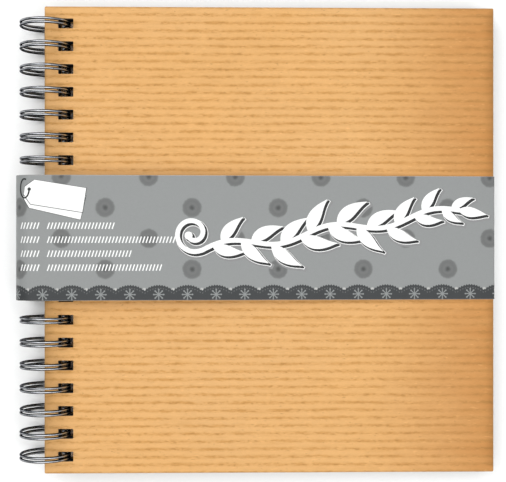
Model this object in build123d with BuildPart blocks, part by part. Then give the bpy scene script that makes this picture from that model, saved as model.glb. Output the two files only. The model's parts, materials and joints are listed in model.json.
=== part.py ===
from build123d import *
import os
from math import acos, asin, atan, atan2, cos, degrees, hypot, sin, sqrt

# A wire-bound scrapbook album lying closed on its back, with a paper band round it.
# +Z is up, +Y is the head, the wire binding is on the -X side, and z = 0 is what it rests on.
# The album's sheets are set out from the ring axis: "across" is the distance from the axis
# towards the fore edge, and "height" the distance above the axis, square to the sheets.

# Covers: greyboard with a ribbed paper facing outside and a plain lining inside
cover_width = 251.0           # spine edge to fore edge
cover_height = 260.0          # head to tail
cover_corner = 0.8
board_thickness = 1.5
facing_thickness = 0.22
lining_thickness = 0.18

# Leaves of card between the covers
leaf_count = 20
leaf_thickness = 0.33
leaf_gap = 0.05
leaf_margin = 2.0             # a leaf stops short of the covers at head, tail and fore edge
leaf_corner = 0.5

# Twin-loop wire
ring_bore = 25.4
wire_diameter = 1.5
loop_pitch = 12.7
loop_spacing = 2.0            # between the centre lines of one loop's two wires
base_bend = 1.0               # centre-line radius of the bend from a loop into the base wire
tip_gap = 0.5                 # between a closed loop's tip and the base wire
end_stub = 1.2                # straight end of the base wire past the first and last loops
end_margin = 8.0              # least distance from a loop's middle to the head or tail

# How the sheets hang on the rings
spine_clearance = 0.3         # from the ring axis to the sheets' spine edges
front_face_height = 4.0       # outer face of the front cover above the ring axis
seam_clearance = 0.2          # each side of the base wire, between last leaf and back cover

# Punched holes, with the play that the rings have in them
hole_side_play = 1.0
hole_inner_play = 0.85
hole_outer_play = 2.0
hole_corner = 0.4

# Paper band round the closed album
band_width = 68.8
band_thickness = 0.3
band_play = 0.3               # between the band and what it wraps
band_rest_play = 0.05         # between the band's back panel and the album's lowest edges
band_centre = 1.2             # above the middle of the covers, towards the head
band_ring_bend = 9.0          # inside radius of the bends round the rings
band_fore_bend = 0.6          # inside radius of the folds at the fore edge
band_overlap = 15.0           # glued overlap on the back panel
band_overlap_across = 110.0

# ---- Ring and stack, worked out from the sizes above
wire_radius = wire_diameter / 2
ring_radius = ring_bore / 2 + wire_radius
ring_outer = ring_bore / 2 + wire_diameter
loop_count = int((cover_height - 2 * end_margin) // loop_pitch) + 1
first_loop = -(loop_count - 1) * loop_pitch / 2
loop_places = [first_loop + number * loop_pitch for number in range(loop_count)]

cover_thickness = facing_thickness + board_thickness + lining_thickness
front_inner_height = front_face_height - cover_thickness
leaf_pitch = leaf_thickness + leaf_gap
leaves_bottom = front_inner_height - leaf_count * leaf_pitch
seam_gap = wire_diameter + 2 * seam_clearance
back_inner_height = leaves_bottom - seam_gap
back_face_height = back_inner_height - cover_thickness

deepest_face = max(front_face_height, -back_face_height)
hole_start = sqrt((ring_bore / 2) ** 2 - deepest_face**2) - hole_inner_play
hole_end = ring_outer + hole_outer_play
hole_width = loop_spacing + wire_diameter + 2 * hole_side_play

# ---- The album lies on its rings and on the back cover's fore edge, so its sheets tilt
fore_edge = spine_clearance + cover_width
back_reach = hypot(fore_edge, back_face_height)
tilt = atan2(fore_edge, -back_face_height) - acos(ring_outer / back_reach)


def from_axis(across, height):
    """How far a point of the tilted sheets lies from the ring axis, along X and Z."""
    return across * cos(tilt) + height * sin(tilt), height * cos(tilt) - across * sin(tilt)


# ---- The band's inside, as X and Z from the ring axis. Its front panel runs straight from
# the tops of the rings down to the front cover's fore edge.
front_fore_x, front_fore_z = from_axis(fore_edge, front_face_height)
front_reach = hypot(front_fore_x, front_fore_z)
band_slope = atan2(front_fore_x, front_fore_z) - acos(ring_outer / front_reach)
band_left = -(ring_outer + band_play)
band_right = front_fore_x + band_play
band_floor = -(ring_outer + band_rest_play)


def band_ceiling(x):
    """The inside of the band's front panel."""
    return (ring_outer + band_play - x * sin(band_slope)) / cos(band_slope)


# ---- Where the ring axis stands: the whole album is centred on X, with its lowest face at 0
axis_x = -(band_left + band_right) / 2
axis_z = band_thickness - band_floor
sheet_plane = Plane(
    origin=(axis_x, 0, axis_z),
    x_dir=(cos(tilt), 0, -sin(tilt)),
    z_dir=(sin(tilt), 0, cos(tilt)),
)
ring_axis = Axis((axis_x, 0, axis_z), (0, -1, 0))

os.makedirs("parts", exist_ok=True)


def save(piece, label):
    """Name a finished piece and write it."""
    piece.part.label = label
    export_step(piece.part, f"parts/{label}.step")


def save_sheet(label, top, thickness, margin, corner):
    """A punched sheet whose upper face is at the given height above the ring axis."""
    width = cover_width - margin
    with BuildPart() as sheet:
        with BuildSketch(sheet_plane.offset(top - thickness)):
            with Locations((spine_clearance + width / 2, 0)):
                RectangleRounded(width, cover_height - 2 * margin, corner)
            with Locations(*[((hole_start + hole_end) / 2, place) for place in loop_places]):
                RectangleRounded(hole_end - hole_start, hole_width, hole_corner, mode=Mode.SUBTRACT)
        extrude(amount=thickness)
    save(sheet, label)


# ---- Covers, each ply from the top down
front_plies = [
    ("front_cover_facing", facing_thickness),
    ("front_cover_board", board_thickness),
    ("front_cover_lining", lining_thickness),
]
back_plies = [
    ("back_cover_lining", lining_thickness),
    ("back_cover_board", board_thickness),
    ("back_cover_facing", facing_thickness),
]
for plies, top in ((front_plies, front_face_height), (back_plies, back_inner_height)):
    for label, thickness in plies:
        save_sheet(label, top, thickness, 0.0, cover_corner)
        top -= thickness

# ---- Leaves, numbered from the front
for number in range(leaf_count):
    leaf_top = front_inner_height - leaf_gap - number * leaf_pitch
    save_sheet(f"leaf_{number + 1:02d}", leaf_top, leaf_thickness, leaf_margin, leaf_corner)

# ---- Binding wire. Going round the ring, with angles counted from +X towards +Z: the base
# wire lies between the last leaf and the back cover, each loop leaves it through the back
# cover, goes round the spine and down through the sheets, and its tip ends just above it.
base_radius = hypot(ring_radius, base_bend)
base_angle = asin((leaves_bottom + back_inner_height) / 2 / base_radius) - tilt
bend_angle = base_angle - atan(base_bend / ring_radius)
tip_angle = (
    base_angle
    + (wire_diameter + tip_gap) / ring_radius
    + atan(loop_spacing / 2 / ring_radius)
)
loop_turn = 360 - degrees(tip_angle - bend_angle)


def ring_plane(angle):
    """The plane across the wire at an angle: X outward from the axis, Y along it."""
    outward = (cos(angle), 0, sin(angle))
    return Plane(
        origin=(axis_x + ring_radius * cos(angle), 0, axis_z + ring_radius * sin(angle)),
        x_dir=outward,
        z_dir=(-sin(angle), 0, cos(angle)),
    )


tip_plane = ring_plane(tip_angle)
bend_plane = ring_plane(bend_angle)
with BuildPart() as double_loop:
    with BuildSketch(tip_plane):
        with Locations((0, -loop_spacing / 2), (0, loop_spacing / 2)):
            Circle(wire_radius)
    revolve(axis=ring_axis, revolution_arc=loop_turn)
    with BuildSketch(tip_plane):
        with Locations((0, -loop_spacing / 2)):
            Circle(wire_radius)
    revolve(axis=Axis(tip_plane.origin, tip_plane.x_dir), revolution_arc=180)
    for side in (-1, 1):
        with BuildSketch(bend_plane):
            with Locations((0, side * loop_spacing / 2)):
                Circle(wire_radius)
        bend_centre = bend_plane.from_local_coords((0, side * (loop_spacing / 2 + base_bend), 0))
        revolve(axis=Axis(bend_centre, bend_plane.x_dir * -side), revolution_arc=90)

base_x = axis_x + base_radius * cos(base_angle)
base_z = axis_z + base_radius * sin(base_angle)
loop_half_width = loop_spacing / 2 + base_bend
base_length = loop_pitch - 2 * loop_half_width
stub_place = loop_places[-1] + loop_half_width + end_stub / 2
with BuildPart() as binding_wire:
    with Locations(*[(0, place, 0) for place in loop_places]):
        add(double_loop.part)
    with Locations(*[(base_x, place + loop_pitch / 2, base_z) for place in loop_places[:-1]]):
        Cylinder(wire_radius, base_length, rotation=(90, 0, 0))
    with Locations((base_x, -stub_place, base_z), (base_x, stub_place, base_z)):
        Cylinder(wire_radius, end_stub, rotation=(90, 0, 0))
save(binding_wire, "binding_wire")

# ---- Paper band: one strip folded round the album, its ends glued one over the other
band_plane = Plane(
    origin=(axis_x, band_centre + band_width / 2, axis_z), x_dir=(1, 0, 0), z_dir=(0, -1, 0)
)
with BuildSketch() as band_inside:
    with BuildLine():
        Polyline(
            (band_left, band_floor),
            (band_right, band_floor),
            (band_right, band_ceiling(band_right)),
            (band_left, band_ceiling(band_left)),
            close=True,
        )
    make_face()
    fillet(band_inside.vertices().sort_by(Axis.X)[:2], band_ring_bend)
    fillet(band_inside.vertices().sort_by(Axis.X)[-2:], band_fore_bend)
with BuildPart() as paper_band:
    with BuildSketch(band_plane):
        add(band_inside.sketch)
        offset(amount=band_thickness)
    extrude(amount=band_width)
    with BuildSketch(band_plane):
        add(band_inside.sketch)
    extrude(amount=band_width, mode=Mode.SUBTRACT)
    with BuildSketch(band_plane):
        with Locations((band_overlap_across, band_floor + band_thickness / 2)):
            Rectangle(band_overlap, band_thickness)
    extrude(amount=band_width)
save(paper_band, "paper_band")

# ---- How far the front cover opens: until its outer face meets what the album lies on
floor_reach = hypot(fore_edge, front_face_height)
front_opening = 180 + degrees(
    tilt + asin(axis_z / floor_reach) - atan2(front_face_height, fore_edge)
)
print(f"ring axis at x {axis_x:.4f}, z {axis_z:.4f}; sheets tilt {degrees(tilt):.3f} degrees")
print(f"front cover opens up to {front_opening:.2f} degrees; {loop_count} double loops")
print(f"holes {hole_end - hole_start:.2f} by {hole_width:.2f}, {hole_start - spine_clearance:.2f} in")
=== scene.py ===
import json
import math

import bmesh
import bpy
from mathutils import Matrix, Vector, noise


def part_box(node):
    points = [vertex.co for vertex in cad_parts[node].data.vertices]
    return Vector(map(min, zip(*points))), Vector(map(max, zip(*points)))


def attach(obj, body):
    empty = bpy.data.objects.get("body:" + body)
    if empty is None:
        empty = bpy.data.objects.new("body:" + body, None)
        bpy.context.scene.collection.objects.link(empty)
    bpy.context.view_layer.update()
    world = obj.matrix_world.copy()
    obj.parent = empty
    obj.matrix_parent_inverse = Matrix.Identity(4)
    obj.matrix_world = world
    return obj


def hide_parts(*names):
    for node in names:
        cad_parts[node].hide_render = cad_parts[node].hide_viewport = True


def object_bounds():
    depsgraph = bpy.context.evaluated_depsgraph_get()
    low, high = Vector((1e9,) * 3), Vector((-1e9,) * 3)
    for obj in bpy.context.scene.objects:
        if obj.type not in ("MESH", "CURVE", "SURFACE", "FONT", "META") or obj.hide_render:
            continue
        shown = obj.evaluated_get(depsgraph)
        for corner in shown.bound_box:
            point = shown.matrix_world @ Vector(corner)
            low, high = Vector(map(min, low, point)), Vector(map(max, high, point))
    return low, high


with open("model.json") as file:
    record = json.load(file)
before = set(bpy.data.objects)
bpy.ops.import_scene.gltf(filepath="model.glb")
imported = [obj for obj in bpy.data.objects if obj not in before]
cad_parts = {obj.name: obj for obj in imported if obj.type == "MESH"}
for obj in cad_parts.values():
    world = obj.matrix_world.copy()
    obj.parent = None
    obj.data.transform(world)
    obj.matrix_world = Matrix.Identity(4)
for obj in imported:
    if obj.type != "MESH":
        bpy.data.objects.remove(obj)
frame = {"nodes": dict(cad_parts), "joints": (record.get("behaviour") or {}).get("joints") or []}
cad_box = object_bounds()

bl_info = {
    "name": "Scrapbook Album",
    "version": (1, 0, 0),
    "blender": (4, 5, 0),
    "location": "3D View > Sidebar > Album",
    "description": "Wire-bound scrapbook album with ribbed kraft covers and a printed paper band",
    "category": "Object",
}

MM = 0.001

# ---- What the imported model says: the ring axis, how the sheets lie, and where each piece is
nodes = frame["nodes"]
hinge = next(joint for joint in frame["joints"] if joint["name"] == "front_cover_hinge")
ring_axis = Vector(hinge["pos_m"])
wire_low, wire_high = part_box("binding_wire")
ring_outer = ring_axis.x - wire_low.x
cover_low, cover_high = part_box("front_cover_facing")
band_low, band_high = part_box("paper_band")
leaf_names = sorted(name for name in nodes if name.startswith("leaf_"))


def upward(node):
    """The mean direction of a node's upper faces."""
    total = Vector()
    for face in nodes[node].data.polygons:
        if face.normal.z > 0.5:
            total += face.normal * face.area
    return total.normalized()


sheet_up = upward("front_cover_facing")
tilt = math.atan2(sheet_up.x, sheet_up.z)


def height(point):
    """How far a point is above the ring axis, square to the sheets."""
    return (Vector(point) - ring_axis).dot(sheet_up)


def heights(node):
    """The lowest and highest points of a sheet, square to it."""
    found = [height(vertex.co) for vertex in nodes[node].data.vertices]
    return min(found), max(found)


# ---- Sizes and colours that a user would change
def linear(value):
    """A display value from 0 to 255 as scene light."""
    value /= 255
    return value / 12.92 if value < 0.04045 else ((value + 0.055) / 1.055) ** 2.4


def length(name, description, millimetres):
    """A setting that is a length."""
    return bpy.props.FloatProperty(
        name=name, description=description, default=millimetres * MM,
        precision=5, subtype="DISTANCE", unit="LENGTH",
    )


def shade(paint, share):
    """A colour made darker, or lighter where the share is over 1."""
    return tuple(min(1.0, part * share) for part in paint)


def colour(name, description, red, green, blue):
    """A setting that is a colour, given in display values from 0 to 255."""
    return bpy.props.FloatVectorProperty(
        name=name, description=description, size=3, min=0.0, max=1.0, subtype="COLOR",
        default=(linear(red), linear(green), linear(blue)),
    )


class CoverSettings(bpy.types.PropertyGroup):
    rib_pitch: length("Rib pitch", "Distance between the grooves of the kraft facing", 4.33)
    rib_depth: length("Rib depth", "Depth of a groove below the ribs", 0.085)
    groove_width: length("Groove width", "Half width of a groove", 0.62)
    run_step: length("Run step", "Distance along a rib over which its depth may change", 7.0)
    kraft: colour("Kraft", "Kraft paper on top of a rib", 219, 170, 111)
    groove: colour("Groove", "Kraft paper down in a groove", 193, 141, 76)
    # Painted shade: the kraft's colour where it is shaded towards the fore edge
    fore_edge_shade: colour("Aged kraft", "Kraft paper browned towards the fore edge", 188, 128, 66)
    lining: colour("Lining", "Plain kraft paper inside the covers", 205, 158, 104)
    board: colour("Board", "Cut edge of the greyboard", 150, 142, 126)


class LeafSettings(bpy.types.PropertyGroup):
    card: colour("Card", "Through-dyed black card", 34, 34, 36)
    fibre: colour("Fibre", "Paler fibres in the card", 62, 62, 66)


class WireSettings(bpy.types.PropertyGroup):
    diameter: length("Wire diameter", "Diameter of the coated wire", 1.5)
    pitch: length("Loop pitch", "Distance between double loops", 12.7)
    spacing: length("Loop spacing", "Between the two wires of a double loop", 2.0)
    base_bend: length("Base bend", "Radius of the bend from a loop into the base wire", 1.0)
    tip_gap: length("Tip gap", "Between a closed loop's tip and the base wire", 0.5)
    sides: bpy.props.IntProperty(
        name="Sides", description="Flats round the wire", default=14, min=6, max=32)
    ring_steps: bpy.props.IntProperty(
        name="Ring steps", description="Lengths of wire in one loop", default=88, min=24, max=180)
    coat: colour("Coat", "Gunmetal coating", 46, 48, 52)
    # Painted highlight: the colour of the bright band along the middle of each wire
    painted_highlight: colour("Rubbed", "Coating where it is rolled bright", 188, 190, 193)


class BandSettings(bpy.types.PropertyGroup):
    thickness: length("Paper thickness", "Of the band", 0.3)
    ring_bend: length("Ring bend", "Inside radius of the bends round the rings", 9.0)
    fore_bend: length("Fore edge fold", "Inside radius of the folds at the fore edge", 0.6)
    overlap: length("Overlap", "Glued overlap on the back panel", 15.0)
    overlap_across: length("Overlap place", "Middle of the overlap from the ring axis", 110.0)
    field: colour("Field", "Printed grey", 141, 143, 142)
    dot: colour("Dot", "Soft printed dots", 106, 107, 106)
    dot_core: colour("Dot middle", "Darker middle of a dot", 68, 69, 68)
    lace: colour("Lace", "Printed lace border", 57, 59, 60)
    flower: colour("Flower", "Small flowers on the lace", 146, 149, 148)
    paper: colour("Paper", "Unprinted paper and cut edges", 226, 224, 219)
    light_ink: colour("Light ink", "White parts of the print", 246, 246, 244)
    dark_ink: colour("Dark ink", "Drop shadow of the print", 22, 22, 23)
    soft_ink: colour("Soft ink", "Faint shade round the drop shadow", 136, 136, 136)
    dot_size: length("Dot radius", "Of the printed dots", 5.5)
    dot_across: length("Dot spacing along", "Between dots of one row", 47.6)
    dot_rows: length("Dot spacing across", "Between every second row", 33.9)
    scallop: length("Scallop", "Width of one scallop of the lace", 15.8)


class StageSettings(bpy.types.PropertyGroup):
    view_distance: length("View distance", "From the front cover up to the camera", 560.0)
    view_width: length("View width", "Width seen at the front cover", 282.9)
    floor: colour("Floor", "Pale table top", 251, 251, 250)
    light: bpy.props.FloatProperty(
        name="Light", description="Share of the usual studio light", default=1.0, min=0.0)


# ---- Shader maths
class Value:
    """A number, vector or colour in a material that takes part in Python expressions."""

    def __init__(self, look, socket):
        self.look, self.socket = look, socket

    def math(self, operation, *values):
        """This and other values through a Math node, or Vector Math where this is a vector."""
        return self.look.math(operation, self, *values)

    def __add__(self, other):
        return self.math("ADD", other)

    __radd__ = __add__

    def __sub__(self, other):
        return self.math("SUBTRACT", other)

    def __rsub__(self, other):
        return self.look.math("SUBTRACT", other, self)

    def __mul__(self, other):
        return self.math("MULTIPLY", other)

    def __truediv__(self, other):
        return self.math("DIVIDE", other)

    def __pow__(self, other):
        return self.math("POWER", other)

    def __abs__(self):
        return self.math("ABSOLUTE")


class Look:
    """One material while its nodes are put together."""

    def __init__(self, name):
        self.material = bpy.data.materials.new(name)
        self.material.use_nodes = True
        self.tree = self.material.node_tree
        self.tree.nodes.clear()

    def node(self, kind, settings=None, sockets=None, output=0):
        """Add a node: first its settings, then the values or links of its sockets."""
        made = self.tree.nodes.new(kind)
        for key, value in (settings or {}).items():
            setattr(made, key, value)
        for key, value in (sockets or {}).items():
            if isinstance(value, Value):
                self.tree.links.new(value.socket, made.inputs[key])
            else:
                made.inputs[key].default_value = value
        return Value(self, made.outputs[output]) if made.outputs else made

    def math(self, operation, *values):
        """A Math node, or Vector Math where any of the values is a vector."""
        vectors = any(isinstance(v, Value) and v.socket.type == "VECTOR" for v in values)
        kind = "ShaderNodeVectorMath" if vectors else "ShaderNodeMath"
        return self.node(kind, {"operation": operation}, dict(enumerate(values)))

    def point(self):
        """Where the surface is, in metres, carried along as the piece moves."""
        return self.node("ShaderNodeTexCoord", output="Object")

    def split(self, vector):
        """The three parts of a vector."""
        parts = self.node("ShaderNodeSeparateXYZ", sockets={"Vector": vector})
        return [Value(self, socket) for socket in parts.socket.node.outputs]

    def join(self, x=0.0, y=0.0, z=0.0):
        """A vector from its parts."""
        return self.node("ShaderNodeCombineXYZ", sockets={"X": x, "Y": y, "Z": z})

    def noise(self, place, scale, stretch=(1, 1, 1), detail=3.0, roughness=0.5, shift=0.0):
        """Cloudy noise from 0 to 1, with features one part in scale of a metre long."""
        placed = self.node("ShaderNodeMapping", sockets={
            "Vector": place,
            "Location": (shift, shift * 0.7, shift * 0.3),
            "Scale": tuple(scale * part for part in stretch),
        })
        return self.node("ShaderNodeTexNoise", sockets={
            "Vector": placed, "Scale": 1.0, "Detail": detail, "Roughness": roughness})

    def step(self, value, low, high):
        """A smooth rise from 0 at low to 1 at high."""
        return self.node("ShaderNodeMapRange", {"interpolation_type": "SMOOTHSTEP"}, {
            "Value": value, "From Min": low, "From Max": high})

    def mix(self, share, first, second):
        """Two colours mixed: the first at share 0, the second at share 1."""
        ends = [c if isinstance(c, Value) else (*c, 1.0) for c in (first, second)]
        return self.node(
            "ShaderNodeMix", {"data_type": "RGBA"},
            {0: share, 6: ends[0], 7: ends[1]}, output=2)

    def tinted(self, colour_value, brightness):
        """A colour made lighter or darker by a number round 1."""
        return self.node("ShaderNodeVectorMath", {"operation": "SCALE"}, {
            0: colour_value, "Scale": brightness})

    def bump(self, relief, distance, strength):
        """A normal from a relief; distance is the height of relief 1, in metres."""
        return self.node("ShaderNodeBump", sockets={
            "Height": relief, "Distance": distance, "Strength": strength})

    def finish(self, **sockets):
        """Close the material with one surface shader."""
        named = {key.replace("_", " "): value for key, value in sockets.items()}
        shader = self.node("ShaderNodeBsdfPrincipled", sockets=named)
        self.node("ShaderNodeOutputMaterial", sockets={"Surface": shader})
        return self.material


# ---- Materials
def edge_nearness(look, x, y, low, high, reach):
    """From 0 inside a sheet's outline to 1 at its edge, over a distance."""
    middle, half = (low + high) / 2, (high - low) / 2
    from_x = half.x - abs(x - middle.x)
    from_y = half.y - abs(y - middle.y)
    return 1 - look.step(from_x.math("MINIMUM", from_y), 0.0, reach)


def ribbed_kraft(cover):
    """Kraft paper embossed with fine ribs, browner in the grooves, with painted shade making it darker
    and browner towards the fore edge.
    """
    look = Look("ribbed_kraft")
    place = look.point()
    x, y, _ = look.split(place)
    wander = look.noise(place, 45, (0.35, 1.6, 1), detail=2.0, shift=3.1) - 0.5
    phase = (y + wander * (1.3 * MM)) / cover.rib_pitch
    ragged = look.noise(place, 460, (0.6, 1.0, 1), detail=3.0, roughness=0.65, shift=4.9) - 0.5
    groove_distance = phase.math("PINGPONG", 0.5) * cover.rib_pitch + ragged * (2.2 * MM)
    dashes = look.noise(place, 90, (0.9, 4.2, 1), detail=2.5, shift=8.3)
    fine_dashes = look.noise(place, 420, (0.8, 2.4, 1), detail=2.0, shift=1.7)
    broken = look.step(dashes * 0.62 + fine_dashes * 0.38, 0.36, 0.62)
    groove = (1 - look.step(groove_distance, 0.0, 1.55 * MM)) * (broken * 0.72 + 0.22)
    deep = (1 - look.step(groove_distance, 0.0, 0.75 * MM)) * look.step(fine_dashes, 0.52, 0.66)
    fibre = look.noise(place, 2600, (0.16, 1.0, 1), detail=3.0, roughness=0.6)
    grain = look.noise(place, 1500, (1, 1, 1), detail=4.0, roughness=0.65, shift=5.0)
    cloud = look.noise(place, 26, (0.8, 1.5, 1), detail=3.0, shift=2.0)
    warmth = look.noise(place, 12, (1, 1, 1), detail=1.5, shift=9.0)

    paper = look.mix(
        look.step(warmth, 0.3, 0.75), cover.kraft,
        tuple(part * share for part, share in zip(cover.kraft, (1.0, 0.97, 0.90))))
    streaks = look.step(look.noise(place, 130, (0.30, 3.4, 1), detail=3.0, shift=6.1), 0.50, 0.74)
    paper = look.mix(streaks * 0.22, paper, cover.groove)
    paper = look.mix(groove, paper, cover.groove)
    paper = look.mix(deep * 0.5, paper, shade(cover.groove, 0.72))
    # Painted shade: darker, browner kraft towards the fore edge, uneven along it
    fore = look.step(x, 0.048, 0.155)
    uneven = look.step(look.noise(place, 60, (0.35, 2.2, 1), detail=3.0, shift=4.4), 0.2, 0.8)
    fore_edge_shade = look.mix(groove * 0.55, cover.fore_edge_shade, shade(cover.groove, 0.62))
    paper = look.mix(fore * (uneven * 0.30 + 0.78), paper, fore_edge_shade)
    flecks = look.step(look.noise(place, 700, (0.5, 1.4, 1), detail=1.0, shift=6.6), 0.70, 0.78)
    paper = look.mix(flecks * 0.35, paper, shade(cover.groove, 0.55))
    pale = look.step(look.noise(place, 950, (0.22, 1.2, 1), detail=1.0, shift=7.9), 0.68, 0.76)
    paper = look.mix(pale * 0.22, paper, shade(cover.kraft, 1.35))
    worn = edge_nearness(look, x, y, cover_low, cover_high, 1.1 * MM)
    paper = look.mix(worn * (fine_dashes * 0.9), paper, shade(cover.kraft, 0.62))
    mottle = look.noise(place, 260, (0.6, 1.2, 1), detail=2.0, roughness=0.6, shift=7.3)
    brightness = 0.76 + fibre * 0.16 + grain * 0.12 + cloud * 0.09 + mottle * 0.12
    relief = fibre * 0.5 + grain * 0.5 - groove * 0.6
    return look.finish(
        Base_Color=look.tinted(paper, brightness),
        Roughness=0.66 + grain * 0.22 - groove * 0.04,
        Normal=look.bump(relief, 0.05 * MM, 0.7),
        Specular_IOR_Level=0.3,
    )


def greyboard(cover):
    """Pulp board: mottled grey, with pressed layers showing on the cut edge."""
    look = Look("greyboard")
    place = look.point()
    mottle = look.noise(place, 520, (1, 1, 1.2), detail=5.0, roughness=0.7)
    layers = look.noise(place, 900, (0.10, 0.10, 5.0), detail=3.0, roughness=0.6, shift=2.5)
    crumbs = look.step(look.noise(place, 2100, detail=1.0, shift=4.0), 0.64, 0.72)
    pulp = look.mix(look.step(mottle, 0.3, 0.7), cover.board,
                    shade(cover.board, 0.72))
    pulp = look.mix(crumbs * 0.4, pulp, (0.62, 0.58, 0.5))
    return look.finish(
        Base_Color=look.tinted(pulp, 0.78 + layers * 0.42),
        Roughness=0.84 + mottle * 0.12,
        Normal=look.bump(layers * 0.7 + mottle * 0.3, 0.12 * MM, 0.8),
        Specular_IOR_Level=0.2,
    )


def kraft_lining(cover):
    """Smooth kraft paper inside the covers, with fibres every way."""
    look = Look("kraft_lining")
    place = look.point()
    along = look.noise(place, 1900, (0.2, 1, 1), detail=3.0, roughness=0.6)
    across = look.noise(place, 1900, (1, 0.22, 1), detail=3.0, roughness=0.6, shift=3.0)
    cloud = look.noise(place, 38, detail=4.0, shift=6.0)
    shives = look.step(look.noise(place, 620, (0.6, 1.3, 1), detail=1.0, shift=8.0), 0.69, 0.75)
    paper = look.mix(shives * 0.4, cover.lining, shade(cover.lining, 0.5))
    return look.finish(
        Base_Color=look.tinted(paper, 0.76 + along * 0.16 + across * 0.14 + cloud * 0.16),
        Roughness=0.70 + along * 0.18,
        Normal=look.bump(along * 0.5 + across * 0.5, 0.04 * MM, 0.7),
        Specular_IOR_Level=0.3,
    )


def black_card(leaf):
    """Uncoated black card: felt-like grain, paler fibres, scuffed at the cut edges."""
    look = Look("black_card")
    place = look.point()
    x, y, _ = look.split(place)
    felt = look.noise(place, 780, detail=4.0, roughness=0.62)
    hairs = look.noise(place, 2300, (0.3, 1.0, 1.0), detail=2.0, roughness=0.6, shift=2.0)
    lint = look.step(look.noise(place, 1300, (0.5, 1.2, 1), detail=1.0, shift=7.0), 0.70, 0.77)
    cloud = look.noise(place, 22, detail=3.0, shift=5.0)
    leaf_low, leaf_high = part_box(leaf_names[0])
    scuffed = edge_nearness(look, x, y, leaf_low, leaf_high, 0.8 * MM)
    card = look.mix(look.step(hairs, 0.45, 0.8) * 0.5, leaf.card, leaf.fibre)
    card = look.mix(lint * 0.35 + scuffed * (felt * 0.5), card, leaf.fibre)
    return look.finish(
        Base_Color=look.tinted(card, 0.72 + felt * 0.34 + cloud * 0.2),
        Roughness=0.74 + felt * 0.2,
        Normal=look.bump(felt * 0.7 + hairs * 0.3, 0.06 * MM, 0.8),
        Specular_IOR_Level=0.3,
    )


def gunmetal_wire(wire):
    """Glossy dark coating on wire, with a painted highlight: base colour made bright along its inner
    and outer sides.
    """
    look = Look("gunmetal_wire")
    place = look.point()
    _, y, _ = look.split(place)
    first_loop = (wire_low.y + wire_high.y) / 2 + wire.pitch / 2
    from_loop = ((y - first_loop) / wire.pitch).math("PINGPONG", 0.5) * wire.pitch
    off_centre = abs(from_loop - wire.spacing / 2) / (wire.diameter / 2)
    drawn = look.noise(place, 900, (1.0, 4.0, 1.0), detail=3.0, roughness=0.6)
    patchy = look.noise(place, 170, (1.0, 2.0, 1.0), detail=4.0, roughness=0.65, shift=3.0)
    pits = look.step(look.noise(place, 2400, detail=1.0, shift=6.0), 0.66, 0.74)
    # Painted highlight: a bright band along the middle of each wire as seen from above, patchy along it
    highlighted = (1 - look.step(off_centre, 0.12, 0.62)) * (look.step(patchy, 0.2, 0.6) * 0.4 + 0.6)
    metal = look.mix(highlighted, wire.coat, wire.painted_highlight)
    metal = look.mix(pits * 0.3, metal, shade(wire.coat, 0.3))
    return look.finish(
        Base_Color=look.tinted(metal, 0.86 + drawn * 0.28),
        Metallic=1.0,
        Roughness=0.16 + drawn * 0.10 + highlighted * 0.08 + pits * 0.15,
        Normal=look.bump(drawn * 0.6 - pits * 0.4, 0.01 * MM, 0.6),
        Specular_Tint=(0.3, 0.3, 0.32, 1.0),
        Coat_Weight=0.08,
        Coat_Roughness=0.12,
    )


def to_lines(value, first, pitch):
    """Distance to the nearest of evenly spaced lines, from 0 to half the pitch."""
    return ((value - first) / pitch).math("PINGPONG", 0.5) * pitch


def printed_dots(band, u, top, blot):
    """Distance to the nearest dot's middle, with its outline made uneven by the blot."""
    # Two sets of dots, each by its first dot's place along the strip and below the head edge
    radii = []
    for first_u, first_top in ((26.4 * MM, 0.8 * MM), (2.6 * MM, 17.8 * MM)):
        across = to_lines(u, first_u, band.dot_across)
        down = to_lines(top, first_top, band.dot_rows)
        radii.append((across ** 2 + down ** 2) ** 0.5)
    return radii[0].math("MINIMUM", radii[1]) + blot * (0.9 * MM)


def printed_lace(look, band, u, v):
    """The lace border's shares of the print: its body, eyelets, pale notches and flowers."""
    first_scallop, lace_height, bow = 16.3 * MM, 8.3 * MM, 12.0 * MM
    picot_pitch, picot_depth, eyelet_depth = 1.44 * MM, 1.5 * MM, 1.45 * MM
    notch_height, flower_height, petal_reach = 5.9 * MM, 3.2 * MM, 2.7 * MM
    eighth = math.pi / 4

    across = to_lines(u, first_scallop, band.scallop)
    arc = (bow ** 2 - across ** 2) ** 0.5 - bow
    picots = (u / picot_pitch).math("PINGPONG", 0.5)
    below_edge = lace_height + arc + (picots - 0.25) * picot_depth - v
    body = look.step(below_edge, -0.12 * MM, 0.12 * MM)

    eyelet_u = to_lines(u, 0.0, picot_pitch)
    eyelet = (eyelet_u ** 2 + (below_edge - eyelet_depth) ** 2) ** 0.5
    eyelets = 1 - look.step(eyelet, 0.22 * MM, 0.42 * MM)

    notch_u = band.scallop / 2 - across
    to_notch = (notch_u ** 2 + (v - notch_height) ** 2) ** 0.5
    notches = 1 - look.step(to_notch, 0.5 * MM, 1.3 * MM)

    flower_v = v - flower_height
    reach = (across ** 2 + flower_v ** 2) ** 0.5
    off_ray = (flower_v.math("ARCTAN2", across) / eighth).math("PINGPONG", 0.5) * eighth
    beside_ray = reach * off_ray.math("SINE")
    arms = (1 - look.step(beside_ray, 0.16 * MM, 0.38 * MM)) * (
        1 - look.step(reach, 2.9 * MM, 3.4 * MM))
    to_tip = ((reach - petal_reach) ** 2 + beside_ray ** 2) ** 0.5
    tips = 1 - look.step(to_tip, 0.34 * MM, 0.56 * MM)
    return body, eyelets, notches, arms.math("MAXIMUM", tips)


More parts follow.
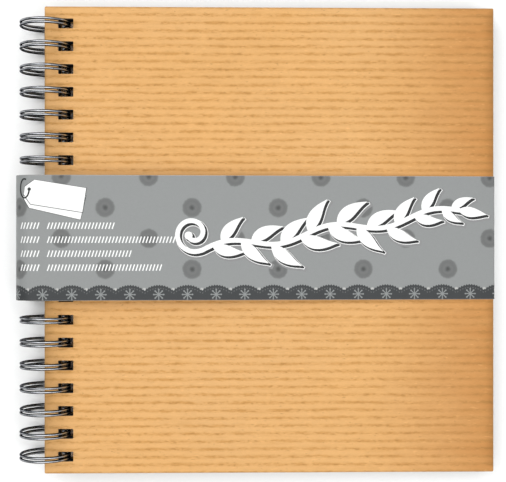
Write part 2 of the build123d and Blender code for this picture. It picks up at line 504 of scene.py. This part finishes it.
def printed_band(band, strip_width):
    """Satin paper printed grey, with soft dots and a scalloped lace border with small flowers, and a
    painted shadow along its tail edge.
    """
    look = Look("printed_band")
    u, v, _ = look.split(look.node("ShaderNodeUVMap", {"uv_map": "strip"}))
    flat = look.join(u, v)
    grain = look.noise(flat, 1400, detail=2.0, roughness=0.6)
    blot = look.noise(flat, 620, detail=2.0, shift=2.0) - 0.5

    to_dot = printed_dots(band, u, strip_width - v, blot)
    dot = 1 - look.step(to_dot, 0.84 * band.dot_size, 1.06 * band.dot_size)
    petals = 1 - look.step(abs(to_dot - 0.66 * band.dot_size), 0.0, 0.22 * band.dot_size)
    core = 1 - look.step(to_dot, 0.04 * band.dot_size, 0.40 * band.dot_size)
    lace, eyelets, notches, flowers = printed_lace(look, band, u, v)
    # Painted shadow: a dark line along the tail edge, where the band casts its shadow on the cover
    tail_edge_shadow = 1 - look.step(v, 0.35 * MM, 0.6 * MM)
    cut = look.step(abs(v - strip_width / 2), strip_width / 2 - 0.35 * MM, strip_width / 2)

    print_colour = look.mix(dot * 0.9, band.field, band.dot)
    for share, ink in (
        (petals * 0.12, band.dot_core),
        (core * 0.85, band.dot_core),
        (notches * 0.45, band.paper),
        (lace, band.lace),
        (lace * eyelets * 0.35, band.field),
        (lace * flowers * 0.85, band.flower),
        # Painted shadow along the tail edge
        (tail_edge_shadow * 0.6, shade(band.lace, 0.5)),
        (cut * (grain * 0.7), band.paper),
    ):
        print_colour = look.mix(share, print_colour, ink)
    return look.finish(
        Base_Color=look.tinted(print_colour, 0.93 + grain * 0.10 + blot * 0.06),
        Roughness=0.40 + grain * 0.12 + dot * 0.03,
        Normal=look.bump(grain, 0.02 * MM, 0.5),
        Specular_IOR_Level=0.25,
    )


def plain_paper(name, paper, roughness=0.7):
    """Unprinted paper, or a solid ink on paper: fine grain and a little mottle."""
    look = Look(name)
    place = look.point()
    grain = look.noise(place, 1700, detail=3.0, roughness=0.6)
    mottle = look.noise(place, 140, detail=2.0, shift=4.0)
    return look.finish(
        Base_Color=look.tinted(look.mix(grain * 0.3, paper, shade(paper, 0.8)),
                               0.95 + mottle * 0.1),
        Roughness=roughness - 0.08 + grain * 0.16,
        Normal=look.bump(grain, 0.02 * MM, 0.5),
        Specular_IOR_Level=0.35,
    )


def table_top(stage):
    """A pale, even table top."""
    look = Look("table_top")
    place = look.point()
    cloud = look.noise(place, 5, detail=2.0)
    grain = look.noise(place, 600, detail=2.0, shift=2.0)
    return look.finish(
        Base_Color=look.tinted(look.mix(cloud * 0.06, stage.floor, (0.8, 0.8, 0.8)),
                               0.985 + grain * 0.03),
        Roughness=0.7 + grain * 0.1,
        Specular_IOR_Level=0.25,
    )


# ---- Pieces
def new_piece(name, mesh_maker, materials, body, stands_for=(), crease=35):
    """A named piece from a finished bmesh, riding on a body."""
    mesh = bpy.data.meshes.new(name)
    mesh_maker.to_mesh(mesh)
    mesh_maker.free()
    for material in materials:
        mesh.materials.append(material)
    mesh.shade_smooth()
    mesh.set_sharp_from_angle(angle=math.radians(crease))
    piece = bpy.data.objects.new(name, mesh)
    bpy.context.scene.collection.objects.link(piece)
    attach(piece, body)
    if stands_for:
        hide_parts(*stands_for)
    return piece


def give_finish(names, material):
    """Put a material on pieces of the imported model."""
    for name in names:
        mesh = nodes[name].data
        mesh.materials.clear()
        mesh.materials.append(material)


def cut_across(bm, place, direction):
    """Cut every face that a plane crosses."""
    bmesh.ops.bisect_plane(
        bm, geom=bm.verts[:] + bm.edges[:] + bm.faces[:], dist=1e-7,
        plane_co=place, plane_no=direction)


def cut_in_turn(bm, faces, axis, places):
    """Cut flat faces across an axis, in rising order, each time only those beyond the last cut."""
    direction = Vector((0, 0, 0))
    direction[axis] = 1
    for place in sorted(places):
        edges = dict.fromkeys(edge for face in faces for edge in face.edges)
        verts = dict.fromkeys(vert for face in faces for vert in face.verts)
        made = bmesh.ops.bisect_plane(
            bm, geom=[*verts, *edges, *faces], dist=1e-7,
            plane_co=direction * place, plane_no=direction)
        faces = [part for part in made["geom"] if isinstance(part, bmesh.types.BMFace)
                 and part.calc_center_median()[axis] > place]


def ribbed_facing(node, outside, cover):
    """A copy of a cover's facing with its outer face pressed into ribs."""
    bm = bmesh.new()
    bm.from_mesh(nodes[node].data)
    bmesh.ops.remove_doubles(bm, verts=bm.verts[:], dist=1e-6)
    bmesh.ops.dissolve_limit(
        bm, angle_limit=math.radians(0.5), use_dissolve_boundaries=False, verts=bm.verts[:],
        edges=bm.edges[:], delimit={"NORMAL"})
    low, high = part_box(node)

    def outer_faces():
        return [face for face in bm.faces if face.normal.dot(sheet_up) * outside > 0.9]

    # A groove is cut along its middle and at three distances on either side
    side_cuts, margin = (-1.7, -0.9, -0.4, 0.0, 0.4, 0.9, 1.7), 0.2 * MM
    first, last = (math.floor(edge.y / cover.rib_pitch) for edge in (low, high))
    across_ribs = [rib * cover.rib_pitch + share * cover.groove_width
                   for rib in range(first, last + 1) for share in side_cuts]
    cut_in_turn(bm, outer_faces(), 1,
                [place for place in across_ribs if low.y + margin < place < high.y - margin])
    runs = round((high.x - low.x) / cover.run_step)
    cut_in_turn(bm, outer_faces(), 0,
                [low.x + (high.x - low.x) * run / runs for run in range(1, runs)])
    # How quickly the depth changes along a groove, and from one groove to the next
    along_groove, between_grooves = 45, 300
    pressed = dict.fromkeys(vert for face in outer_faces() for vert in face.verts)
    for vert in pressed:
        nearest = round(vert.co.y / cover.rib_pitch) * cover.rib_pitch
        away = (vert.co.y - nearest) / cover.groove_width
        life = 0.8 + 0.5 * noise.noise(
            Vector((vert.co.x * along_groove, nearest * between_grooves, outside)))
        drop = cover.rib_depth * life * math.exp(-away * away)
        vert.co -= sheet_up * (outside * drop)
    return bm


class ALBUM_OT_covers(bpy.types.Operator):
    """Press ribs into both covers' facings and finish their boards and linings"""
    bl_idname = "album.covers"
    bl_label = "Covers"

    def execute(self, context):
        cover = context.scene.album_cover
        kraft = ribbed_kraft(cover)
        for node, body, outside in (
            ("front_cover_facing", "front_cover", 1),
            ("back_cover_facing", "back_cover_and_wire", -1),
        ):
            new_piece(f"{node}_ribbed", ribbed_facing(node, outside, cover), [kraft], body,
                      [node])
        give_finish(("front_cover_board", "back_cover_board"), greyboard(cover))
        give_finish(("front_cover_lining", "back_cover_lining"), kraft_lining(cover))
        return {"FINISHED"}


class ALBUM_OT_leaves(bpy.types.Operator):
    """Finish the black card leaves"""
    bl_idname = "album.leaves"
    bl_label = "Leaves"

    def execute(self, context):
        give_finish(leaf_names, black_card(context.scene.album_leaf))
        return {"FINISHED"}


def wire_binding(wire):
    """One wire: base wire, bend, ring, tip, ring, bend, base wire, and so on."""
    radius = wire.diameter / 2
    ring_radius = ring_outer - radius
    base_radius = math.hypot(ring_radius, wire.base_bend)
    seam_height = (heights(leaf_names[-1])[0] + heights("back_cover_lining")[1]) / 2
    base_angle = math.asin(seam_height / base_radius) - tilt
    bend_angle = base_angle - math.atan(wire.base_bend / ring_radius)
    tip_angle = (base_angle + (wire.diameter + wire.tip_gap) / ring_radius
                 + math.atan(wire.spacing / 2 / ring_radius))
    turn = 2 * math.pi - (tip_angle - bend_angle)
    half_width = wire.spacing / 2 + wire.base_bend
    straight = wire.pitch / 2 - half_width
    count = round((wire_high.y - wire_low.y) / wire.pitch)
    middle = (wire_low.y + wire_high.y) / 2
    first = middle - (count - 1) * wire.pitch / 2

    def outward(angle):
        """The direction away from the ring axis at an angle, counted from +X towards +Z."""
        return Vector((math.cos(angle), 0, math.sin(angle)))

    def on_ring(angle, y):
        """A place on a ring's centre line."""
        return Vector((ring_axis.x, y, ring_axis.z)) + outward(angle) * ring_radius

    bm = bmesh.new()
    bmesh.ops.create_circle(bm, cap_ends=False, radius=radius, segments=wire.sides)
    start = Vector((ring_axis.x, -wire.pitch / 2, ring_axis.z)) + outward(base_angle) * base_radius
    bmesh.ops.transform(
        bm, verts=bm.verts[:],
        matrix=Matrix.Translation(start) @ Matrix.Rotation(math.pi / 2, 4, "X"))
    end = bm.verts[:] + bm.edges[:]

    def sweep(centre, axis, angle, steps, along=0.0):
        """Carry the wire's open end round a bend, or straight along +Y where angle is 0."""
        made = bmesh.ops.spin(
            bm, geom=end, cent=centre, axis=axis, angle=angle, steps=steps,
            dvec=(0, along / steps, 0), use_merge=False, use_duplicate=False)
        end[:] = made["geom_last"]

    # One double loop, from the middle of one base run to the middle of the next
    quarter, bend_steps = math.pi / 2, 6
    sweep((0, 0, 0), (0, 1, 0), 0.0, 1, straight)
    sweep(on_ring(bend_angle, -half_width), outward(bend_angle), -quarter, bend_steps)
    sweep(ring_axis, (0, 1, 0), turn, wire.ring_steps)
    sweep(on_ring(tip_angle, 0), outward(tip_angle), math.pi, 2 * bend_steps)
    sweep(ring_axis, (0, 1, 0), -turn, wire.ring_steps)
    sweep(on_ring(bend_angle, half_width), outward(bend_angle), -quarter, bend_steps)
    sweep((0, 0, 0), (0, 1, 0), 0.0, 1, straight)

    bmesh.ops.translate(bm, verts=bm.verts[:], vec=(0, first, 0))
    loop = bm.verts[:] + bm.edges[:] + bm.faces[:]
    for number in range(1, count):
        made = bmesh.ops.duplicate(bm, geom=loop)
        copied = [part for part in made["geom"] if isinstance(part, bmesh.types.BMVert)]
        bmesh.ops.translate(bm, verts=copied, vec=(0, number * wire.pitch, 0))
    bmesh.ops.remove_doubles(bm, verts=bm.verts[:], dist=1e-6)
    for place, side in ((wire_low, -1), (wire_high, 1)):
        bmesh.ops.bisect_plane(
            bm, geom=bm.verts[:] + bm.edges[:] + bm.faces[:], dist=1e-7, clear_outer=True,
            plane_co=(0, place.y, 0), plane_no=(0, side, 0))
    bmesh.ops.holes_fill(bm, edges=[edge for edge in bm.edges if edge.is_boundary], sides=0)
    bmesh.ops.recalc_face_normals(bm, faces=bm.faces[:])
    return bm


class ALBUM_OT_wire(bpy.types.Operator):
    """Bend the double-loop binding wire"""
    bl_idname = "album.wire"
    bl_label = "Binding wire"

    def execute(self, context):
        wire = context.scene.album_wire
        new_piece("binding_wire_bent", wire_binding(wire), [gunmetal_wire(wire)],
                  "back_cover_and_wire", ["binding_wire"], crease=60)
        return {"FINISHED"}


class BandPath:
    """The line that the band's outer face follows round the album, in runs and bends.

    A place on the flat strip is u along it, v up from its tail edge and a lift off its outer
    face. u is 0 at the left end of the front panel as seen from above.
    """

    step_down = 1.5 * MM      # over this length the strip steps from under its last end
    run_piece = 12 * MM       # length of a piece of a straight run
    bend_piece = 6            # degrees in a piece of a bend

    def __init__(self, band):
        self.band = band
        left, right = band_low.x - ring_axis.x, band_high.x - ring_axis.x
        floor = band_low.z - ring_axis.z
        self.fore_radius = band.fore_bend + band.thickness
        self.ring_radius = band.ring_bend + band.thickness
        # The front panel runs from the bend over the rings, whose crown is the band's highest
        # point, and slopes as the line from the rings' tops to the front cover's fore edge.
        corner = max((vertex.co for vertex in nodes["front_cover_facing"].data.vertices),
                     key=lambda co: co.x + co.z) - ring_axis
        slope = (math.atan2(corner.x, corner.z)
                 - math.acos(ring_outer / math.hypot(corner.x, corner.z)))
        bend_x = left + self.ring_radius
        bend_z = band_high.z - ring_axis.z - self.ring_radius
        lean = math.pi / 2 + slope
        ring_tangent = self.ring_radius * math.tan(lean / 2)
        fore_tangent = self.fore_radius * math.tan((math.pi - lean) / 2)

        def ceiling(x):
            return bend_z + (self.ring_radius - (x - bend_x) * math.sin(slope)) / math.cos(slope)

        left_top, right_top = ceiling(left), ceiling(right)
        front = math.hypot(right - left, left_top - right_top)
        start_across = band.overlap_across + band.overlap / 2
        stop_across = band.overlap_across - band.overlap / 2
        quarter = math.pi / 2
        self.start = Vector((start_across, floor))
        self.parts = [
            (start_across - left - self.ring_radius, 0.0),
            (self.ring_radius * quarter, quarter),
            (left_top - floor - self.ring_radius - ring_tangent, 0.0),
            (self.ring_radius * lean, lean),
            (front - ring_tangent - fore_tangent, 0.0),
            (self.fore_radius * (math.pi - lean), math.pi - lean),
            (right_top - floor - fore_tangent - self.fore_radius, 0.0),
            (self.fore_radius * quarter, quarter),
            (right - self.fore_radius - stop_across, 0.0),
        ]
        to_front = sum(size for size, _ in self.parts[:4])
        tangent_x = self.ring_radius * (1 + math.sin(slope))
        self.u_start = tangent_x / math.cos(slope) - to_front
        self.u_end = self.u_start + sum(size for size, _ in self.parts)
        self.front_start = self.u_start + to_front
        self.front_end = self.front_start + self.parts[4][0]

    def bend_lines(self):
        """Where along the strip it is cut: often round the bends, seldom on the runs."""
        lines, u = [], self.u_start
        for size, turn in self.parts:
            share = math.degrees(turn) / self.bend_piece if turn else size / self.run_piece
            pieces = max(1, round(share))
            lines += [u + size * number / pieces for number in range(pieces)]
            u += size
        overlap_end = self.u_start + self.band.overlap
        return lines[1:] + [overlap_end, overlap_end + self.step_down]

    def place(self, u, v, lift):
        """A point of the flat strip where it lies on the album."""
        along = u - self.u_start
        # The strip's first end lies under its last end, by the thickness of the paper.
        under = 1 - min(1.0, max(0.0, (along - self.band.overlap) / self.step_down))
        lift -= self.band.thickness * under
        point, heading = self.start.copy(), math.pi
        for number, (size, turn) in enumerate(self.parts):
            last = number == len(self.parts) - 1
            step = along if last else min(along, size)
            if turn:
                radius = size / turn
                swept = step / radius
                right = Vector((math.sin(heading), -math.cos(heading)))
                centre = point + right * radius
                heading -= swept
                point = centre - Vector((math.sin(heading), -math.cos(heading))) * radius
            else:
                point = point + Vector((math.cos(heading), math.sin(heading))) * step
            along -= step
            if along <= 1e-9 and not last:
                break
        outward = Vector((-math.sin(heading), math.cos(heading)))
        point = point + outward * lift
        return Vector((ring_axis.x + point.x, band_low.y + v, ring_axis.z + point.y))

    def bend(self, bm):
        """Bend flat geometry, x along, y up and z off the paper, round the album."""
        for vert in bm.verts:
            vert.co = self.place(*vert.co)


def thicken(bm, faces, thickness):
    """Give flat faces a thickness below them."""
    made = bmesh.ops.extrude_face_region(bm, geom=faces)
    below = [part for part in made["geom"] if isinstance(part, bmesh.types.BMVert)]
    bmesh.ops.translate(bm, verts=below, vec=(0, 0, -thickness))
    bmesh.ops.recalc_face_normals(bm, faces=bm.faces[:])


def band_strip(band, path):
    """The band's paper: a flat strip with its print laid out on it, bent round the album."""
    width = band_high.y - band_low.y
    run = path.u_end - path.u_start
    bm = bmesh.new()
    bmesh.ops.create_grid(bm, x_segments=1, y_segments=1, size=0.5)
    bmesh.ops.scale(bm, verts=bm.verts[:], vec=(run, width, 1))
    bmesh.ops.translate(bm, verts=bm.verts[:], vec=(path.u_start + run / 2, width / 2, 0))
    thicken(bm, bm.faces[:], band.thickness)
    for line in path.bend_lines():
        cut_across(bm, (line, 0, 0), (1, 0, 0))
    pieces_across = 6
    for line in range(1, pieces_across):
        cut_across(bm, (0, width * line / pieces_across, 0), (0, 1, 0))
    strip = bm.loops.layers.uv.new("strip")
    for face in bm.faces:
        face.normal_update()
        face.material_index = 0 if face.normal.z > 0.5 else 1
        for corner in face.loops:
            corner[strip].uv = corner.vert.co.xy
    path.bend(bm)
    bmesh.ops.recalc_face_normals(bm, faces=bm.faces[:])
    return bm


# ---- What is printed on the band's front panel, drawn flat in millimetres from the panel's
# left end and its tail edge, then bent with the band
def smooth_line(points, share):
    """A point and its direction along a smooth line through points, at a share from 0 to 1."""
    place = min(share, 0.99999) * (len(points) - 1)
    number, t = int(place), place - int(place)
    padded = [points[0] * 2 - points[1], *points, points[-1] * 2 - points[-2]]
    a, b, c, d = padded[number:number + 4]
    spot = 0.5 * (2 * b + (c - a) * t + (2 * a - 5 * b + 4 * c - d) * t * t
                  + (3 * b - a - 3 * c + d) * t ** 3)
    way = 0.5 * ((c - a) + 2 * (2 * a - 5 * b + 4 * c - d) * t
                 + 3 * (3 * b - a - 3 * c + d) * t * t)
    return spot, way.normalized()


def ribbon(bm, points, half_width, steps, lift, grow=0.0, shift=(0, 0), colour_index=0):
    """A flat brush stroke along a line, in millimetres; half_width(share) shapes it."""
    made = bmesh.ops.create_grid(bm, x_segments=steps, y_segments=2, size=0.5)
    for vert in made["verts"]:
        share, side = vert.co.x + 0.5, vert.co.y * 2
        spot, way = smooth_line(points, share)
        square = Vector((-way.y, way.x))
        overshoot = way * (grow * (1 if share > 0.999 else -1 if share < 0.001 else 0))
        spot = spot + overshoot + square * side * (half_width(share) + grow)
        vert.co = (spot.x + shift[0], spot.y + shift[1], lift)
    for face in {face for vert in made["verts"] for face in vert.link_faces}:
        face.material_index = colour_index


def round_dot(bm, centre, radius, lift, grow=0.0, shift=(0, 0), colour_index=0):
    """A flat filled disc."""
    made = bmesh.ops.create_circle(bm, cap_ends=True, radius=radius + grow, segments=28)
    bmesh.ops.translate(bm, verts=made["verts"], vec=(centre.x + shift[0], centre.y + shift[1], lift))
    for face in {face for vert in made["verts"] for face in vert.link_faces}:
        face.material_index = colour_index


def leaf_shape(full):
    """Half width of a leaf: round near its stalk and pointed at its tip."""
    return lambda share: full * math.sin(math.pi * min(share, 1.0) ** 0.75) ** 1.15 + 0.12


def heading_to(angle):
    """The direction at an angle from the strip's length."""
    return Vector((math.cos(angle), math.sin(angle)))


def bent_line(root, angle, bend, reach):
    """Five points from a root, turning a little from one to the next."""
    return [root + heading_to(angle + bend * step) * (reach * step / 4) for step in range(5)]


def leafy_spray():
    """A waving stem with a curled end and pairs of leaves, with a drop shadow to its lower right.

    It stands in place of lettering.
    """
    start, end = Vector((103.0, 27.5)), Vector((247.4, 49.8))
    wave, waves, stem_half, stem_points = 3.0, 2.5, 1.3, 48
    curl_radius, curl_turns, curl_closing, curl_points = 10.5, 1.25, 0.74, 21
    pairs, leaf_length, leaf_lean, leaf_bend = 9, 20.5, math.radians(52), 0.075
    end_leaf_length, end_leaf_half = 16.2, 2.7
    white, dark, soft = range(3)
    run = end - start
    lean = math.atan2(run.y, run.x)

    def on_stem(share):
        """A place on the stem, and the way it heads there."""
        turn = 2 * math.pi * waves * share
        climb = math.atan(2 * math.pi * waves * wave / run.length * math.cos(turn))
        sway = heading_to(lean + math.pi / 2) * (wave * math.sin(turn))
        return start + run * share + sway, lean + climb

    _, away = on_stem(0.0)
    curl_middle = start + heading_to(away + math.pi / 2) * curl_radius
    curl = []
    for number in range(curl_points):
        inward = 1 - number / curl_points
        angle = away - math.pi / 2 - 2 * math.pi * curl_turns * inward
        curl.append(curl_middle + heading_to(angle) * (curl_radius * (1 - curl_closing * inward)))
    stem = curl + [on_stem(number / stem_points)[0] for number in range(stem_points + 1)]
    strokes = [(stem, lambda share: stem_half, 240)]
    for number in range(pairs):
        share = (number + 0.55) / pairs
        # The leaves are largest in the middle of the stem and smallest at its end
        size = leaf_length * (0.84 + 0.22 * math.sin(math.pi * share)) * (1 - 0.28 * share ** 3)
        for side in (1, -1):
            root, away = on_stem(share + 0.018 * side)
            leaf = bent_line(root, away + side * leaf_lean, -side * leaf_bend, size)
            strokes.append((leaf, leaf_shape(size * 0.165), 16))
    root, away = on_stem(1.0)
    end_leaf = bent_line(root - heading_to(away), away, 0.0, end_leaf_length)
    strokes.append((end_leaf, leaf_shape(end_leaf_half), 16))

    bm = bmesh.new()
    for lift, grow, shift, colour_index in (
        (0.014, 1.30, (1.55, -1.65), soft),
        (0.040, 0.62, (1.05, -1.12), white),
        (0.070, 0.36, (0.95, -1.00), dark),
        (0.100, 0.0, (0.0, 0.0), white),
    ):
        for number, (points, half_width, steps) in enumerate(strokes):
            ribbon(bm, points, half_width, steps, lift + 0.001 * number, grow, shift,
                   colour_index)
        round_dot(bm, stem[0], 2.2, lift + 0.024, grow, shift, colour_index)
    return bm


def stitches():
    """Four rows of slanting stitches, in place of small lettering."""
    top_row, row_pitch, stitch_pitch = 39.25, 7.65, 1.85
    stitch_length, stitch_half, slant = 3.7, 0.32, math.radians(72)
    short_run, long_start = (4.0, 15.6), 18.9
    bm = bmesh.new()
    for row, long_run in enumerate((37.5, 70.5, 45.4, 62.0)):
        for low, high in (short_run, (long_start, long_start + long_run)):
            for number in range(round((high - low) / stitch_pitch)):
                foot = Vector((low + number * stitch_pitch, top_row - row * row_pitch))
                stitch = bent_line(foot, slant, 0.0, stitch_length)
                ribbon(bm, stitch, lambda share: stitch_half, 2, 0.05)
    return bm


def tags():
    """Two blank hang tags on a loop of string, printed one behind the other."""
    middle, size, lean = Vector((22.6, 57.6)), (33.0, 13.4), math.radians(-9.0)
    corner_cut, outline = 4.6, 0.28
    back_shift, back_turn = (-0.4, -3.0), math.radians(-4.0)
    white, grey, dark = range(3)
    bm = bmesh.new()

    def tag(shift, turn, lift, grow, colour_index):
        """One tag, moved and turned from the front one's place, with cut corners at its left."""
        made = bmesh.ops.create_grid(bm, x_segments=1, y_segments=1, size=0.5)
        bmesh.ops.scale(bm, verts=made["verts"], vec=(size[0] + 2 * grow, size[1] + 2 * grow, 1))
        left = [vert for vert in made["verts"] if vert.co.x < 0]
        cut = bmesh.ops.bevel(bm, geom=left, offset=corner_cut, affect="VERTICES", segments=1,
                              profile=0.5, material=-1)
        verts = list(dict.fromkeys(
            [*(vert for vert in made["verts"] if vert.is_valid), *cut["verts"]]))
        bmesh.ops.transform(bm, verts=verts, matrix=Matrix.Translation(
            (middle.x + shift[0], middle.y + shift[1], lift))
            @ Matrix.Rotation(lean + turn, 4, "Z"))
        for face in {face for vert in verts for face in vert.link_faces}:
            face.material_index = colour_index

    tag(back_shift, back_turn, 0.020, outline, grey)
    tag(back_shift, back_turn, 0.040, 0.0, white)
    tag((0.1, -0.1), 0.0, 0.060, outline, grey)
    tag((0.0, 0.0), 0.0, 0.080, 0.0, white)
    # The string goes round most of a loop, from the tag's hole
    loop_middle, loop_width, loop_height = Vector((6.4, 61.4)), 2.7, 5.2
    hole_radius, string_half = 0.95, 0.42
    string = [loop_middle + Vector((loop_width * math.cos(turn), loop_height * math.sin(turn)))
              for turn in (math.radians(-5 - 26 * number) for number in range(12))]
    round_dot(bm, string[0], hole_radius, 0.096, colour_index=grey)
    ribbon(bm, string, lambda share: string_half, 60, 0.112, colour_index=dark)
    return bm


def on_band(bm, path):
    """Turn a flat drawing in millimetres into thin ink on the bent band."""
    ink_thickness = 0.012 * MM
    bmesh.ops.remove_doubles(bm, verts=bm.verts[:], dist=1e-4)
    bmesh.ops.scale(bm, verts=bm.verts[:], vec=(MM, MM, MM))
    low = min(vert.co.x for vert in bm.verts)
    for line in path.bend_lines():
        if low < line < path.front_start + 1 * MM:
            cut_across(bm, (line, 0, 0), (1, 0, 0))
    thicken(bm, bm.faces[:], ink_thickness)
    path.bend(bm)
    bmesh.ops.recalc_face_normals(bm, faces=bm.faces[:])
    return bm


class ALBUM_OT_band(bpy.types.Operator):
    """Bend the printed paper band round the album"""
    bl_idname = "album.band"
    bl_label = "Paper band"

    def execute(self, context):
        band = context.scene.album_band
        path = BandPath(band)
        new_piece("paper_band_strip", band_strip(band, path),
                  [printed_band(band, band_high.y - band_low.y), plain_paper("band_paper", band.paper)],
                  "band", ["paper_band"])
        return {"FINISHED"}


class ALBUM_OT_print(bpy.types.Operator):
    """Print the leafy spray, the rows of stitches and the blank tags on the band"""
    bl_idname = "album.print"
    bl_label = "Band print"

    def execute(self, context):
        band = context.scene.album_band
        path = BandPath(band)
        light = plain_paper("light_ink", band.light_ink, 0.45)
        dark = plain_paper("dark_ink", band.dark_ink, 0.45)
        grey = plain_paper("grey_ink", band.lace, 0.45)
        soft = plain_paper("soft_shadow_ink", band.soft_ink, 0.45)
        for name, drawing, inks in (
            ("band_leafy_spray", leafy_spray(), [light, dark, soft]),
            ("band_stitches", stitches(), [light]),
            ("band_tags", tags(), [light, grey, dark]),
        ):
            new_piece(name, on_band(drawing, path), inks, "band")
        return {"FINISHED"}


def lay_table(stage):
    """A square table top under the album."""
    half_width = 3.0
    bm = bmesh.new()
    bmesh.ops.create_grid(bm, x_segments=1, y_segments=1, size=half_width)
    mesh = bpy.data.meshes.new("table_top")
    bm.to_mesh(mesh)
    bm.free()
    mesh.materials.append(table_top(stage))
    table = bpy.data.objects.new("table_top", mesh)
    bpy.context.scene.collection.objects.link(table)


def hang_lights(stage):
    """Three square soft lights, each turned to the album's middle."""
    target = (Vector(cad_box[0]) + Vector(cad_box[1])) / 2
    for name, place, size, power in (
        ("overhead_light", (0.0, 0.0, 1.6), 2.0, 22.0),
        ("window_light", (-0.95, 0.75, 1.1), 0.9, 5.5),
        ("fill_light", (1.1, -0.8, 0.9), 1.0, 4.5),
    ):
        lamp = bpy.data.lights.new(name, "AREA")
        lamp.shape, lamp.size, lamp.energy = "SQUARE", size, power * stage.light
        light = bpy.data.objects.new(name, lamp)
        light.location = place
        light.rotation_euler = (target - Vector(place)).to_track_quat("-Z", "Y").to_euler()
        bpy.context.scene.collection.objects.link(light)


def pale_room(stage):
    """A pale ceiling over darker walls, as the world around the table."""
    wall, ceiling, ceiling_height = 0.30, 0.50, 0.9
    world = bpy.data.worlds.new("pale_room")
    world.use_nodes = True
    tree = world.node_tree
    facing = tree.nodes.new("ShaderNodeTexCoord")
    parts = tree.nodes.new("ShaderNodeSeparateXYZ")
    rise = tree.nodes.new("ShaderNodeMapRange")
    rise.inputs["From Min"].default_value = 0.0
    rise.inputs["From Max"].default_value = ceiling_height
    rise.inputs["To Min"].default_value = wall * stage.light
    rise.inputs["To Max"].default_value = ceiling * stage.light
    background = tree.nodes["Background"]
    background.inputs["Color"].default_value = (0.96, 0.98, 1.0, 1.0)
    tree.links.new(facing.outputs["Generated"], parts.inputs[0])
    tree.links.new(parts.outputs["Z"], rise.inputs["Value"])
    tree.links.new(rise.outputs["Result"], background.inputs["Strength"])
    bpy.context.scene.world = world


def place_camera(stage):
    """A camera that looks straight down on the front cover, a little beside its middle."""
    beside_x, beside_y, cover_middle, sensor = -2.2 * MM, -0.56 * MM, 0.125, 36.0
    camera = bpy.data.cameras.new("camera")
    camera.sensor_width = sensor
    camera.lens = sensor * stage.view_distance / stage.view_width
    camera.clip_start, camera.clip_end = 0.01, 20.0
    eye = bpy.data.objects.new("camera", camera)
    face_middle = ring_axis.z + heights("front_cover_facing")[1] - cover_middle * math.sin(tilt)
    eye.location = (beside_x, beside_y, face_middle + stage.view_distance)
    bpy.context.scene.collection.objects.link(eye)
    bpy.context.scene.camera = eye


class ALBUM_OT_stage(bpy.types.Operator):
    """Set the table top, the studio lights and the camera"""
    bl_idname = "album.stage"
    bl_label = "Stage"

    def execute(self, context):
        stage = context.scene.album_stage
        lay_table(stage)
        hang_lights(stage)
        pale_room(stage)
        place_camera(stage)
        context.scene.view_settings.view_transform = "Standard"
        return {"FINISHED"}


operators = (ALBUM_OT_covers, ALBUM_OT_leaves, ALBUM_OT_wire, ALBUM_OT_band, ALBUM_OT_print,
             ALBUM_OT_stage)
settings = {
    "album_cover": CoverSettings,
    "album_leaf": LeafSettings,
    "album_wire": WireSettings,
    "album_band": BandSettings,
    "album_stage": StageSettings,
}


class ALBUM_PT_panel(bpy.types.Panel):
    """The album's pieces and their settings"""
    bl_idname = "ALBUM_PT_panel"
    bl_label = "Scrapbook Album"
    bl_space_type = "VIEW_3D"
    bl_region_type = "UI"
    bl_category = "Album"

    def draw(self, context):
        for operator in operators:
            self.layout.operator(operator.bl_idname)
        for name in settings:
            group = getattr(context.scene, name)
            box = self.layout.box()
            for prop in group.__annotations__:
                box.prop(group, prop)


def register():
    for group in settings.values():
        bpy.utils.register_class(group)
    for name, group in settings.items():
        setattr(bpy.types.Scene, name, bpy.props.PointerProperty(type=group))
    for operator in operators:
        bpy.utils.register_class(operator)
    bpy.utils.register_class(ALBUM_PT_panel)


def unregister():
    bpy.utils.unregister_class(ALBUM_PT_panel)
    for operator in reversed(operators):
        bpy.utils.unregister_class(operator)
    for name, group in settings.items():
        delattr(bpy.types.Scene, name)
        bpy.utils.unregister_class(group)


def main():
    """Make every piece in turn."""
    register()
    bpy.ops.album.covers()
    bpy.ops.album.leaves()
    bpy.ops.album.wire()
    bpy.ops.album.band()
    bpy.ops.album.print()
    bpy.ops.album.stage()


if __name__ == "__main__":
    main()
